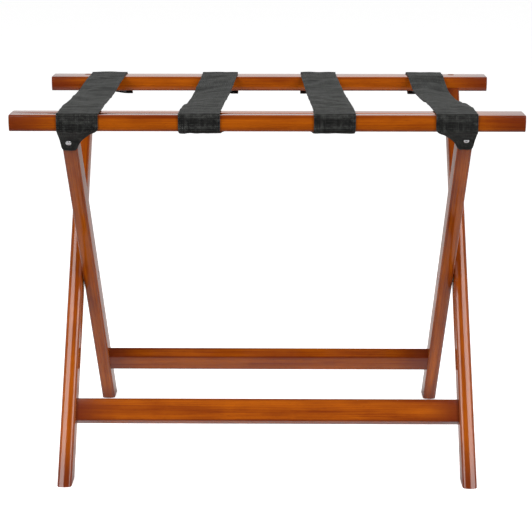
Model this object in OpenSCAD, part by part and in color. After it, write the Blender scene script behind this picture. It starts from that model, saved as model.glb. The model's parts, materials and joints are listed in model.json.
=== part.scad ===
// Folding luggage rack: two crossed wooden frames joined by pivot bolts and four webbing straps.
// +X runs along the rails, +Y to the rear, +Z up. The origin is on the floor under the pivot line.
// The inner frame carries the front rail, the outer frame carries the rear rail.

/* [Overall] */
// Height of the rail tops above the floor when open
rack_height = 500; // [420:1:620]
// Length of each top rail
rail_length = 640; // [600:1:800]
// Lean of the legs from upright when open
leg_angle = 35.5; // [30:0.5:38]
// Height of the pivot bolts above the floor when open
pivot_height = 241; // [215:1:270]

/* [Rails] */
// Width of a top rail, front to back
rail_width = 42; // [38:1:54]
// Thickness of a top rail
rail_thick = 21; // [18:0.5:28]
// Edge radius along the top of a rail
rail_top_radius = 2.5; // [1:0.5:4]
// Edge radius along the bottom of a rail
rail_bottom_radius = 5; // [2:0.5:7]
// Depth that a leg top is let into its rail
leg_mortise = 5; // [3:0.5:8]

/* [Legs] */
// Width of a leg along the rails
leg_width = 19.5; // [17:0.5:26]
// Depth of a leg in its frame's side view
leg_depth = 31; // [26:0.5:38]
// Edge radius along a leg
leg_radius = 2; // [0.5:0.5:4]
// Distance between the outer faces of the two outer legs
outer_leg_span = 559; // [540:1:580]
// Gap between an outer leg and its inner leg
leg_gap = 1; // [0.6:0.1:2]

/* [Stretchers] */
// Distance from the pivot line down a leg to the middle of its stretcher
stretcher_drop = 197; // [160:1:210]
// Width of a stretcher along the leg
stretcher_width = 32; // [24:1:40]
// Thickness of a stretcher
stretcher_thick = 19; // [16:0.5:21]
// Distance that a stretcher sits towards the underside of its legs
stretcher_offset = 2.7; // [0:0.1:3]
// Edge radius along a stretcher
stretcher_radius = 2; // [0.5:0.5:4]

/* [Joinery] */
// Diameter of a stretcher dowel
dowel_dia = 8; // [6:0.5:9]
// Length of a stretcher dowel
dowel_length = 32; // [24:1:40]
// Depth that a dowel goes into the leg
dowel_in_leg = 13; // [8:0.5:15]
// Spacing of the two dowels in a joint
dowel_spacing = 16; // [13:0.5:18]
// Glue gap round a dowel, a screw or a mortised leg
glue_gap = 0.05; // [0.02:0.01:0.1]
// Diameter of a rail screw's shank
rail_screw_dia = 4.5; // [3.5:0.1:6]
// Diameter of a rail screw's head
rail_screw_head = 8.4; // [7:0.1:9]
// Length of a rail screw below its head
rail_screw_length = 52; // [40:1:65]
// Diameter of the wooden plug over a rail screw
plug_dia = 9.6; // [9.4:0.1:12]
// Depth of the plug along the leg
plug_depth = 6; // [4:0.5:8]

/* [Pivots] */
// Diameter of a pivot bolt's shank
pivot_dia = 6; // [5:0.5:8]
// Diameter of a pivot bolt's head
pivot_head_dia = 12; // [10:0.5:14]
// Thickness of a pivot bolt's head
pivot_head_thick = 2.6; // [2:0.1:4]
// Diameter of a pivot nut
pivot_nut_dia = 10.5; // [9:0.5:12]
// Thickness of a pivot nut
pivot_nut_thick = 4.2; // [3:0.1:5]
// Depth of the recesses for the head and the nut
pivot_recess = 4.6; // [4:0.1:5.5]
// Radial clearance round a recessed head or nut
recess_clearance = 0.6; // [0.3:0.1:1]
// Radial running clearance of a pivot bolt in the legs
pivot_clearance = 0.05; // [0.02:0.01:0.1]
// Outer diameter of the washer between two legs
washer_dia = 19; // [14:0.5:24]

/* [Straps] */
// Width of a strap
strap_width = 52; // [38:1:55]
// Thickness of the webbing
strap_thick = 1.4; // [1:0.1:2.5]
// Distance from the middle of the rack to an end strap on the front rail
end_strap_front = 235; // [228:1:238]
// Distance from the middle of the rack to an end strap on the rear rail
end_strap_rear = 230; // [220:1:233]
// Distance from the middle of the rack to a middle strap on the front rail
mid_strap_front = 84; // [60:1:110]
// Distance from the middle of the rack to a middle strap on the rear rail
mid_strap_rear = 73; // [60:1:110]
// Length of a strap end stapled under a rail
strap_tuck = 34; // [20:1:36]
// Sag of a strap in the middle of its span
strap_sag = 3; // [0:0.5:8]
// Width of the tab of an end strap on the inner leg
tab_width = 27; // [22:1:34]
// Length of the tab down the inner leg, from the underside of the rail
tab_length = 31; // [24:1:45]
// Distance of the left tab screw down the inner leg, from the underside of the rail
tab_screw_drop_left = 20.5; // [12:0.5:24]
// Distance of the right tab screw down the inner leg, from the underside of the rail
tab_screw_drop_right = 15; // [12:0.5:24]
// Clearance between the webbing and the wood
strap_clearance = 0.1; // [0.05:0.05:0.3]
// Clearance between two strap lengths that bend against each other
bend_clearance = 0.3; // [0.2:0.1:0.5]

/* [Strap fasteners] */
// Diameter of a tab screw's head
tab_screw_head = 7.6; // [6:0.2:10]
// Height of a tab screw's head
tab_screw_rise = 1.8; // [1.2:0.1:3]
// Diameter of a tab screw's shank
tab_screw_dia = 3.5; // [3:0.1:5]
// Length of a tab screw below its head
tab_screw_length = 12; // [8:0.5:13]
// Width of a staple's crown
staple_crown = 10; // [8:0.5:14]
// Length of a staple's legs in the wood
staple_leg = 8; // [5:0.5:10]
// Thickness of the staple wire
staple_wire = 0.9; // [0.6:0.1:1.4]

/* [Hidden] */
$fn = 48;

// The two frames lean opposite ways: the inner frame's top to the front, the outer frame's to the rear.
inner = 1;
outer = -1;
left = -1;
right = 1;

outer_leg_x = outer_leg_span / 2 - leg_width / 2;
inner_leg_x = outer_leg_x - leg_width - leg_gap;
inner_leg_face = inner_leg_x - leg_width / 2;
outer_leg_face = outer_leg_x - leg_width / 2;
rail_z = rack_height - rail_thick / 2;
rail_bottom = rack_height - rail_thick;
rail_y = tan(leg_angle) * (rail_z - pivot_height);
leg_top = rail_bottom + leg_mortise;
leg_reach = rack_height / cos(leg_angle);
// Where the leg's centre line comes out of the rail's top, measured along the leg from the pivot
axis_top = (rack_height - pivot_height) / cos(leg_angle);
// Where the underside of the rail meets the lower face of the inner leg, measured the same way
tab_top = (rail_bottom - pivot_height + leg_depth / 2 * sin(leg_angle)) / cos(leg_angle);
rail_edge = rail_y - rail_width / 2;
rail_outer_edge = rail_y + rail_width / 2;
// A strap's span hinges where the flat of the rail's top ends
hinge_y = rail_edge + rail_top_radius;
leg_face_y = tan(leg_angle) * (rail_bottom - pivot_height) + leg_depth / 2 / cos(leg_angle);
wrap_clear_of_leg = 0.4;
washer_bore = pivot_dia / 2 + pivot_clearance;
wood_cut = 1;
far = 2000;
cherry = [0.52, 0.20, 0.07];
cherry_dark = [0.40, 0.15, 0.06];
webbing = [0.10, 0.10, 0.11];
bright_zinc = [0.75, 0.75, 0.77];

// ---- shared shapes ----

// A bar's section about its own middle, with one edge radius above and another below.
// grow sets a parallel outline outside it.
module bar_section(width, height, top_r, bottom_r, grow = 0) {
    w = width / 2;
    h = height / 2;
    for (side = [-1, 1]) {
        translate([side * (w - top_r), h - top_r]) circle(r = top_r + grow);
        translate([side * (w - bottom_r), bottom_r - h]) circle(r = bottom_r + grow);
    }
    translate([-w - grow, bottom_r - h]) square([width + 2 * grow, height - top_r - bottom_r]);
    translate([top_r - w, -h]) square([width - 2 * top_r, height + grow]);
    translate([bottom_r - w, -h - grow]) square([width - 2 * bottom_r, height]);
}

// A YZ outline pushed out along X, centred on x.
module along_x(x, length) {
    translate([x - length / 2, 0, 0]) rotate([90, 0, 90]) linear_extrude(length) children();
}

// Puts its children in a frame's own axes: the pivot at the origin and Z up along the legs.
module leaning(lean) {
    translate([0, 0, pivot_height]) rotate([lean * leg_angle, 0, 0]) children();
}

module rail_outline(lean, grow = 0) {
    translate([-lean * rail_y, rail_z])
        bar_section(rail_width, rail_thick, rail_top_radius, rail_bottom_radius, grow);
}

// A leg cut level at the floor and at its top. grow widens it for the mortise in the rail.
module leg_blank(lean, x, grow = 0) {
    intersection() {
        leaning(lean) translate([x, 0, -leg_reach]) linear_extrude(2 * leg_reach)
            bar_section(leg_width, leg_depth, leg_radius, leg_radius, grow);
        translate([-far / 2, -far / 2, 0]) cube([far, far, leg_top + grow]);
    }
}

module rail_screw_holes(lean, x) {
    leaning(lean) translate([x, 0, 0]) {
        translate([0, 0, axis_top - plug_depth]) cylinder(d = plug_dia + 2 * glue_gap, h = far);
        translate([0, 0, axis_top - plug_depth - rail_screw_length])
            cylinder(d = rail_screw_dia + 2 * glue_gap, h = rail_screw_length + wood_cut);
        translate([0, 0, axis_top - plug_depth - screw_head_depth])
            cylinder(d1 = rail_screw_dia + 2 * glue_gap, d2 = rail_screw_head + 2 * glue_gap,
                h = screw_head_depth);
    }
}
screw_head_depth = (rail_screw_head - rail_screw_dia) / 2;

// The pivot's bore through both legs of one side, with the recesses for its head and its nut.
module pivot_cut(side) {
    length = 2 * leg_width + leg_gap + 2 * wood_cut;
    translate([side * (inner_leg_face - wood_cut), 0, pivot_height]) rotate([0, side * 90, 0]) {
        cylinder(r = pivot_dia / 2 + pivot_clearance, h = length);
        cylinder(r = pivot_nut_dia / 2 + recess_clearance, h = wood_cut + pivot_recess);
        translate([0, 0, length - wood_cut - pivot_recess])
            cylinder(r = pivot_head_dia / 2 + recess_clearance, h = wood_cut + pivot_recess);
    }
}

// The dowels of one stretcher, at both ends. gap widens them into their holes.
module dowels(lean, face, gap = 0) {
    leaning(lean) translate([0, -lean * stretcher_offset, -stretcher_drop])
        for (side = [left, right], step = [-0.5, 0.5])
            translate([side * (face - dowel_length + dowel_in_leg - gap), 0, step * dowel_spacing])
                rotate([0, side * 90, 0]) cylinder(d = dowel_dia + 2 * gap, h = dowel_length + 2 * gap);
}

// ---- wooden parts ----

module top_rail(lean, x) {
    difference() {
        along_x(0, rail_length) rail_outline(lean);
        for (side = [left, right]) {
            leg_blank(lean, side * x, glue_gap);
            rail_screw_holes(lean, side * x);
        }
    }
}

module leg(lean, x, side, face) {
    difference() {
        leg_blank(lean, side * x);
        pivot_cut(side);
        dowels(lean, face, glue_gap);
        rail_screw_holes(lean, side * x);
        if (lean == inner) tab_screw_solid(side, glue_gap);
    }
}

module stretcher(lean, face) {
    difference() {
        leaning(lean) translate([0, -lean * stretcher_offset, -stretcher_drop])
            along_x(0, 2 * face)
                bar_section(stretcher_thick, stretcher_width, stretcher_radius, stretcher_radius);
        dowels(lean, face, glue_gap);
    }
}

module front_rail() { color(cherry) top_rail(inner, inner_leg_x); }
module rear_rail() { color(cherry) top_rail(outer, outer_leg_x); }
module inner_leg_left() { color(cherry) leg(inner, inner_leg_x, left, inner_leg_face); }
module inner_leg_right() { color(cherry) leg(inner, inner_leg_x, right, inner_leg_face); }
module outer_leg_left() { color(cherry) leg(outer, outer_leg_x, left, outer_leg_face); }
module outer_leg_right() { color(cherry) leg(outer, outer_leg_x, right, outer_leg_face); }
module rear_stretcher() { color(cherry) stretcher(inner, inner_leg_face); }
module front_stretcher() { color(cherry) stretcher(outer, outer_leg_face); }
module rear_stretcher_dowels() { color("burlywood") dowels(inner, inner_leg_face); }
module front_stretcher_dowels() { color("burlywood") dowels(outer, outer_leg_face); }

// ---- fasteners ----

module rail_screws(lean, x) {
    for (side = [left, right])
        leaning(lean) translate([side * x, 0, axis_top - plug_depth - rail_screw_length]) {
            cylinder(d = rail_screw_dia, h = rail_screw_length - screw_head_depth);
            translate([0, 0, rail_screw_length - screw_head_depth])
                cylinder(d1 = rail_screw_dia, d2 = rail_screw_head, h = screw_head_depth);
        }
}

// The plugs are cut flush with the rail's top.
module rail_plugs(lean, x) {
    intersection() {
        for (side = [left, right])
            leaning(lean) translate([side * x, 0, axis_top - plug_depth])
                cylinder(d = plug_dia, h = plug_depth + plug_dia);
        translate([-far / 2, -far / 2, 0]) cube([far, far, rack_height]);
    }
}

module front_rail_screws() { color(bright_zinc) rail_screws(inner, inner_leg_x); }
module rear_rail_screws() { color(bright_zinc) rail_screws(outer, outer_leg_x); }
module front_rail_plugs() { color(cherry_dark) rail_plugs(inner, inner_leg_x); }
module rear_rail_plugs() { color(cherry_dark) rail_plugs(outer, outer_leg_x); }

// The head seats in the outer leg's recess and the shank reaches through to the nut's face.
module pivot_bolt(side) {
    grip = 2 * leg_width + leg_gap - 2 * pivot_recess;
    translate([side * (inner_leg_face + pivot_recess), 0, pivot_height]) rotate([0, side * 90, 0]) {
        translate([0, 0, -pivot_nut_thick]) cylinder(d = pivot_dia, h = grip + pivot_nut_thick);
        translate([0, 0, grip + glue_gap]) cylinder(d = pivot_head_dia, h = pivot_head_thick);
        translate([0, 0, grip]) cylinder(d = pivot_dia, h = 2 * glue_gap);
    }
}

module pivot_washer(side) {
    translate([side * (inner_leg_x + leg_width / 2 + glue_gap), 0, pivot_height]) rotate([0, side * 90, 0])
        difference() {
            cylinder(d = washer_dia, h = leg_gap - 2 * glue_gap);
            translate([0, 0, -wood_cut]) cylinder(r = washer_bore, h = leg_gap + 2 * wood_cut);
        }
}

module pivot_nut(side) {
    translate([side * (inner_leg_face + pivot_recess), 0, pivot_height]) rotate([0, -side * 90, 0])
        difference() {
            translate([0, 0, glue_gap]) cylinder(d = pivot_nut_dia, h = pivot_nut_thick - glue_gap);
            translate([0, 0, -wood_cut])
                cylinder(r = washer_bore, h = pivot_nut_thick + 2 * wood_cut);
        }
}

module pivot_bolt_left() { color(bright_zinc) pivot_bolt(left); }
module pivot_bolt_right() { color(bright_zinc) pivot_bolt(right); }
module pivot_washer_left() { color("ivory") pivot_washer(left); }
module pivot_washer_right() { color("ivory") pivot_washer(right); }
module pivot_nut_left() { color(bright_zinc) pivot_nut(left); }
module pivot_nut_right() { color(bright_zinc) pivot_nut(right); }

// A domed screw through the tab into the inner leg. gap widens its shank into the pilot hole.
module tab_screw_solid(side, gap = 0) {
    drop = side == left ? tab_screw_drop_left : tab_screw_drop_right;
    leaning(inner) translate([side * inner_leg_x, -leg_depth / 2 - strap_clearance - strap_thick,
            tab_top - drop]) rotate([90, 0, 0]) {
        translate([0, 0, -tab_screw_length]) cylinder(d = tab_screw_dia + 2 * gap, h = tab_screw_length + gap);
        if (gap == 0) rotate_extrude() intersection() {
            dome_r = (pow(tab_screw_head / 2, 2) + pow(tab_screw_rise, 2)) / (2 * tab_screw_rise);
            translate([0, tab_screw_rise - dome_r]) circle(r = dome_r);
            square([tab_screw_head / 2, tab_screw_rise]);
        }
    }
}

module strap_tab_screws() {
    color("silver") for (side = [left, right]) tab_screw_solid(side);
}

// A staple seen from below the rail: its crown under the webbing and its legs up in the wood.
module staple(x, y) {
    crown_z = rail_bottom - strap_clearance - strap_thick - staple_wire;
    translate([x - staple_crown / 2, y - staple_wire / 2, crown_z]) {
        cube([staple_crown, staple_wire, staple_wire]);
        for (leg_x = [0, staple_crown - staple_wire])
            translate([leg_x, 0, 0]) cube([staple_wire, staple_wire, staple_leg + strap_thick]);
    }
}

// The end straps' front tucks stop beside the inner legs, so their staples sit nearer the middle.
end_tuck_half = inner_leg_face - wrap_clear_of_leg - end_strap_front + strap_width / 2;
end_staple_x = end_strap_front - strap_width / 2 + end_tuck_half / 2;
front_staple_y = rail_outer_edge - strap_tuck + 5;

module front_staples() {
    color("dimgray") {
        for (side = [left, right]) staple(side * end_staple_x, -front_staple_y);
        for (side = [left, right], step = [-1, 1])
            staple(side * mid_strap_front + step * strap_width / 4, -front_staple_y);
    }
}

module rear_staples() {
    color("dimgray") for (side = [left, right], x = [end_strap_rear, mid_strap_rear], step = [-1, 1])
        staple(side * x + step * strap_width / 4, front_staple_y);
}

// ---- webbing ----

// The band of webbing that lies round a rail's section.
module strap_band(lean) {
    difference() {
        rail_outline(lean, strap_clearance + strap_thick);
        rail_outline(lean, strap_clearance);
    }
}

// A wrap covers the rail's top and outer side and tucks under it. It stops at the rail's inner top edge.
module wrap(lean, x, width, tuck) {
    along_x(x, width) intersection() {
        strap_band(lean);
        translate([-lean * rail_y, rail_z]) mirror([lean == inner ? 1 : 0, 0]) {
            translate([rail_top_radius - rail_width / 2, 0]) square([2 * rail_width, 2 * rail_thick]);
            translate([rail_width / 2 - tuck, -2 * rail_thick]) square([2 * rail_width, 2 * rail_thick]);
        }
    }
}

// The front wrap of an end strap tucks under beside the inner leg and turns down the leg as a tab.
module end_front_wrap(side) {
    inner_edge = end_strap_front - strap_width / 2;
    wrap(inner, side * end_strap_front, strap_width, rail_outer_edge - leg_face_y - wrap_clear_of_leg);
    wrap(inner, side * (inner_edge + end_tuck_half / 2), end_tuck_half, strap_tuck);
    difference() {
        intersection() {
            leaning(inner) translate([0, -leg_depth / 2 - strap_clearance, 0]) rotate([90, 0, 0])
                linear_extrude(strap_thick) tab_outline(side);
            translate([-far / 2, -far, 0]) cube([far, far, rail_bottom - strap_clearance]);
        }
        tab_screw_solid(side, glue_gap);
    }
}

// The tab seen square to the leg's face: full width at the rail, narrowing to its rounded end.
module tab_outline(side) {
    outer_edge = end_strap_front + strap_width / 2;
    middle = inner_leg_x;
    corner = tab_width / 4;
    low = tab_top - tab_length;
    polygon([
        [side * (middle - tab_width), tab_top + strap_thick],
        [side * outer_edge, tab_top + strap_thick],
        [side * (middle + tab_width / 2 - corner / 2), low + corner],
        [side * (middle + tab_width / 2 - corner), low],
        [side * (middle - tab_width / 2), low],
        [side * (middle - tab_width / 2 - corner), low + corner]
    ]);
}

module middle_front_wrap(side) { wrap(inner, side * mid_strap_front, strap_width, strap_tuck); }
module rear_wrap(x) { wrap(outer, x, strap_width, strap_tuck); }

// Half of a strap's span. It slopes from its hinge line at the rail's inner top edge down to the middle.
module span_half(lean, x_rail, x_far_rail) {
    w = strap_width / 2;
    shift = (x_far_rail - x_rail) / 2;
    slope = atan(strap_sag / hinge_y);
    length = hinge_y / cos(slope);
    translate([x_rail, -lean * hinge_y, rack_height + strap_clearance]) rotate([-lean * slope, 0, 0])
        linear_extrude(strap_thick) scale([1, lean]) polygon([
            [-w, bend_clearance],
            [w, bend_clearance],
            [shift + w, length - bend_clearance],
            [shift - w, length - bend_clearance]
        ]);
}

module left_end_strap_front_wrap() { color(webbing) end_front_wrap(left); }
module left_end_strap_front_half() { color(webbing) span_half(inner, -end_strap_front, -end_strap_rear); }
module left_end_strap_rear_half() { color(webbing) span_half(outer, -end_strap_rear, -end_strap_front); }
module left_end_strap_rear_wrap() { color(webbing) rear_wrap(-end_strap_rear); }
module left_middle_strap_front_wrap() { color(webbing) middle_front_wrap(left); }
module left_middle_strap_front_half() { color(webbing) span_half(inner, -mid_strap_front, -mid_strap_rear); }
module left_middle_strap_rear_half() { color(webbing) span_half(outer, -mid_strap_rear, -mid_strap_front); }
module left_middle_strap_rear_wrap() { color(webbing) rear_wrap(-mid_strap_rear); }
module right_middle_strap_front_wrap() { color(webbing) middle_front_wrap(right); }
module right_middle_strap_front_half() { color(webbing) span_half(inner, mid_strap_front, mid_strap_rear); }
module right_middle_strap_rear_half() { color(webbing) span_half(outer, mid_strap_rear, mid_strap_front); }
module right_middle_strap_rear_wrap() { color(webbing) rear_wrap(mid_strap_rear); }
module right_end_strap_front_wrap() { color(webbing) end_front_wrap(right); }
module right_end_strap_front_half() { color(webbing) span_half(inner, end_strap_front, end_strap_rear); }
module right_end_strap_rear_half() { color(webbing) span_half(outer, end_strap_rear, end_strap_front); }
module right_end_strap_rear_wrap() { color(webbing) rear_wrap(end_strap_rear); }

front_rail();
rear_rail();
inner_leg_left();
inner_leg_right();
outer_leg_left();
outer_leg_right();
rear_stretcher();
front_stretcher();
rear_stretcher_dowels();
front_stretcher_dowels();
front_rail_screws();
rear_rail_screws();
front_rail_plugs();
rear_rail_plugs();
pivot_bolt_left();
pivot_bolt_right();
pivot_washer_left();
pivot_washer_right();
pivot_nut_left();
pivot_nut_right();
strap_tab_screws();
front_staples();
rear_staples();
left_end_strap_front_wrap();
left_end_strap_front_half();
left_end_strap_rear_half();
left_end_strap_rear_wrap();
left_middle_strap_front_wrap();
left_middle_strap_front_half();
left_middle_strap_rear_half();
left_middle_strap_rear_wrap();
right_middle_strap_front_wrap();
right_middle_strap_front_half();
right_middle_strap_rear_half();
right_middle_strap_rear_wrap();
right_end_strap_front_wrap();
right_end_strap_front_half();
right_end_strap_rear_half();
right_end_strap_rear_wrap();
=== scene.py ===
import json
import math
import bpy
import bmesh
from mathutils import Matrix, Vector, noise


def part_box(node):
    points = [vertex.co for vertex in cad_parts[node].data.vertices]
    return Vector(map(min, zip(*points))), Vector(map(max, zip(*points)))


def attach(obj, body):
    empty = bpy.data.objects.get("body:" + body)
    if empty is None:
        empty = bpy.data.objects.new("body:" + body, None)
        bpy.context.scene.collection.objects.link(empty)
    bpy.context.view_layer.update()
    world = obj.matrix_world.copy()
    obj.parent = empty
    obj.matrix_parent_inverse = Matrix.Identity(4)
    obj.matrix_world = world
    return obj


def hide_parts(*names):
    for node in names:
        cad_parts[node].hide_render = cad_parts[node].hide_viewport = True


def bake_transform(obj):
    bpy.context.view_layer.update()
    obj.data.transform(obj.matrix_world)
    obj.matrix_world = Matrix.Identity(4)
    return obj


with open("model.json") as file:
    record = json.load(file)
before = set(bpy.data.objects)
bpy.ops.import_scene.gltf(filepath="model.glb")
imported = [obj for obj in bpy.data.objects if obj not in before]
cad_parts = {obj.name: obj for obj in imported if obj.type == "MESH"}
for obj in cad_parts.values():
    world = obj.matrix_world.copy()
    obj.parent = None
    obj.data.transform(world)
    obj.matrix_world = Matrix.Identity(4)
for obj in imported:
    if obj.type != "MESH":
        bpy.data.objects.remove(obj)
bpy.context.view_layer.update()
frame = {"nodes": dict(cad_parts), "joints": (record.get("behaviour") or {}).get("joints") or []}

mm = 0.001


def boxMiddle(node):
    low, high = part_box(node)
    return (low + high) / 2


def boxSize(node):
    low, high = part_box(node)
    return high - low


# what the frame says about the rack
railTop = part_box("front_rail")[1].z
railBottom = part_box("front_rail")[0].z
railLength, railWidth, railThick = boxSize("front_rail")
railY = -boxMiddle("front_rail").y
railZ = boxMiddle("front_rail").z
pivotZ = boxMiddle("pivot_bolt_left").z
lean = math.atan2(railY, railZ - pivotZ)
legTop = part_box("inner_leg_left")[1].z
legWidth = boxSize("inner_leg_left").x
legFront = -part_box("inner_leg_left")[0].y
legDepth = 2 * math.cos(lean) * (legFront - math.tan(lean) * (legTop - pivotZ))
legLength = legTop / math.cos(lean)
innerLegX = boxMiddle("inner_leg_right").x
outerLegX = boxMiddle("outer_leg_right").x
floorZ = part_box("outer_leg_left")[0].z
frames = {"inner": {"lean": 1, "x": innerLegX, "body": "inner_frame"},
          "outer": {"lean": -1, "x": outerLegX, "body": "outer_frame"}}
sides = {"left": -1, "right": 1}


def leaning(frameName, point=(0, 0, 0)):  # a frame's own axes: pivot at the origin, Z up its legs
    turn = Matrix.Rotation(frames[frameName]["lean"] * lean, 4, "X")
    return Matrix.Translation((0, 0, pivotZ)) @ turn @ Matrix.Translation(point)


# helpers for meshes

def smooth(a, b, x):
    t = min(1, max(0, (x - a) / (b - a)))
    return t * t * (3 - 2 * t)


def allOf(bm):
    return bm.verts[:] + bm.edges[:] + bm.faces[:]


def roundEdges(bm, edges, radius, steps):
    bmesh.ops.bevel(bm, geom=edges, offset=radius, segments=steps, profile=0.5, affect="EDGES",
                    offset_type="OFFSET", clamp_overlap=True, material=-1)


def toPiece(bm, name):
    bmesh.ops.recalc_face_normals(bm, faces=bm.faces)
    mesh = bpy.data.meshes.new(name)
    bm.to_mesh(mesh)
    bm.free()
    piece = bpy.data.objects.new(name, mesh)
    bpy.context.scene.collection.objects.link(piece)
    return piece


def cutAway(piece, cutter):
    cut = piece.modifiers.new("cut", "BOOLEAN")
    cut.operation = "DIFFERENCE"
    cut.solver = "EXACT"
    cut.object = cutter
    bpy.context.view_layer.update()
    shape = bpy.data.meshes.new_from_object(piece.evaluated_get(bpy.context.evaluated_depsgraph_get()))
    piece.modifiers.clear()
    piece.data = shape
    bpy.data.objects.remove(cutter)


def tidyMesh(piece, sharpAngle=38):
    bm = bmesh.new()
    bm.from_mesh(piece.data)
    bmesh.ops.remove_doubles(bm, verts=bm.verts, dist=0.002 * mm)
    bmesh.ops.dissolve_degenerate(bm, edges=bm.edges, dist=0.001 * mm)
    bm.to_mesh(piece.data)
    bm.free()
    piece.data.shade_smooth()
    piece.data.set_sharp_from_angle(angle=math.radians(sharpAngle))


def evenNormals(piece):
    weighted = piece.modifiers.new("even normals", "WEIGHTED_NORMAL")
    weighted.keep_sharp = True


def lathe(profile, steps, place):  # profile is (radius, height) from the axis, round and back to it
    bm = bmesh.new()
    points = [bm.verts.new((r * mm, 0, z * mm)) for r, z in profile]
    for first, second in zip(points, points[1:]):
        bm.edges.new((first, second))
    bmesh.ops.spin(bm, geom=bm.verts[:] + bm.edges[:], axis=(0, 0, 1), cent=(0, 0, 0),
                   steps=steps, angle=2 * math.pi, use_merge=True)
    bmesh.ops.remove_doubles(bm, verts=bm.verts, dist=0.002 * mm)
    bmesh.ops.transform(bm, matrix=place, verts=bm.verts)
    return bm


def joinMeshes(target, other):
    mesh = bpy.data.meshes.new("part")
    other.to_mesh(mesh)
    other.free()
    target.from_mesh(mesh)
    bpy.data.meshes.remove(mesh)


def addAttribute(piece, name, kind, values):
    layer = piece.data.attributes.new(name, kind, "POINT")
    flat = [c for v in values for c in v] if kind == "FLOAT_VECTOR" else values
    layer.data.foreach_set("vector" if kind == "FLOAT_VECTOR" else "value", flat)


# the rails, legs and stretchers

bars = {"legCrown": 2.0, "legSideCrown": 0.25, "legRadius": 2.2,
        "railCrown": 2.0, "railTopCrown": 0.3, "railTopRadius": 2.5, "railBottomRadius": 5,
        "stretcherCrown": 0.35, "stretcherRadius": 1.4, "footEase": 0.9, "railEndEase": 2.4,
        "mortiseGap": 0.05, "strips": 10, "edgeBand": 4}


def crownedBar(width, depth, length, crownY, crownX, radii):
    # width on X, depth on Y, length on Z; radii are for the long edges at low and at high X
    bm = bmesh.new()
    bmesh.ops.create_cube(bm, size=1)
    bmesh.ops.scale(bm, vec=(width, depth, length), verts=bm.verts)
    for axis, size in ((Vector((1, 0, 0)), width), (Vector((0, 1, 0)), depth)):
        for i in range(1, bars["strips"]):
            bmesh.ops.bisect_plane(bm, geom=allOf(bm), plane_co=axis * size * (i / bars["strips"] - 0.5),
                                   plane_no=axis)
    corners = [e for e in bm.edges
               if all(abs(abs(v.co.x) - width / 2) < 1e-6 and abs(abs(v.co.y) - depth / 2) < 1e-6
                      for v in e.verts)]
    lowEdges = [e for e in corners if e.verts[0].co.x < 0]
    highEdges = [e for e in corners if e.verts[0].co.x > 0]
    for v in bm.verts:
        acrossX = v.co.x / (width / 2)
        acrossY = v.co.y / (depth / 2)
        v.co.y -= math.copysign(crownY * mm * acrossX ** 2, v.co.y) * abs(acrossY)
        v.co.x -= math.copysign(crownX * mm * acrossY ** 2, v.co.x) * abs(acrossX)
    roundEdges(bm, lowEdges, radii[0] * mm, 5)
    roundEdges(bm, highEdges, radii[1] * mm, 6)
    return bm


def easeEnds(bm, length, radius):
    rim = [e for e in bm.edges
           if all(abs(abs(v.co.z) - length / 2) < 1e-6 for v in e.verts) and len(e.link_faces) == 2
           and min(abs(f.normal.z) for f in e.link_faces) < 0.5]
    roundEdges(bm, rim, radius * mm, 3)


def cutLevel(bm, height, up):
    cut = bmesh.ops.bisect_plane(bm, geom=allOf(bm), plane_co=(0, 0, height), plane_no=(0, 0, up),
                                 clear_outer=True)
    rim = [e for e in cut["geom_cut"] if isinstance(e, bmesh.types.BMEdge)]
    bmesh.ops.contextual_create(bm, geom=rim)
    return rim


def finishBar(piece, place, size, seed, node, body):  # size is the bar's width, depth and length
    tidyMesh(piece)
    back = place.inverted()
    spots = [back @ v.co for v in piece.data.vertices]
    drift = Vector((0.31, 0.17, 0.73)) * seed  # each bar is cut from its own stretch of board
    addAttribute(piece, "grainPos", "FLOAT_VECTOR", [s + drift for s in spots])
    addAttribute(piece, "alongBar", "FLOAT", [s.z / (size[2] / 2) for s in spots])
    fromEdge = [max(size[0] / 2 - abs(s.x), size[1] / 2 - abs(s.y)) for s in spots]
    addAttribute(piece, "nearEdge", "FLOAT", [1 - smooth(0, bars["edgeBand"] * mm, d) for d in fromEdge])
    evenNormals(piece)
    piece.data.materials.append(stainedWood)
    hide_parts(node)
    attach(piece, body)


def leg(frameName, sideName, seed):
    facts = frames[frameName]
    node = f"{frameName}_leg_{sideName}"
    x = sides[sideName] * facts["x"]
    place = leaning(frameName, (x, 0, 0))
    radii = (bars["legRadius"], bars["legRadius"])
    # cut from a bar twice as long, so that both ends reach past their level cuts
    bm = crownedBar(legWidth, legDepth, 2 * legLength, bars["legCrown"], bars["legSideCrown"], radii)
    bmesh.ops.transform(bm, matrix=place, verts=bm.verts)
    cutLevel(bm, legTop, 1)
    foot = cutLevel(bm, floorZ, -1)
    roundEdges(bm, [e for e in foot if e.is_valid], bars["footEase"] * mm, 2)
    piece = toPiece(bm, f"{frameName}Leg{sideName.capitalize()}")
    cutAway(piece, pivotCutter(sides[sideName]))
    finishBar(piece, place, (legWidth, legDepth, legLength), seed, node, facts["body"])


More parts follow.
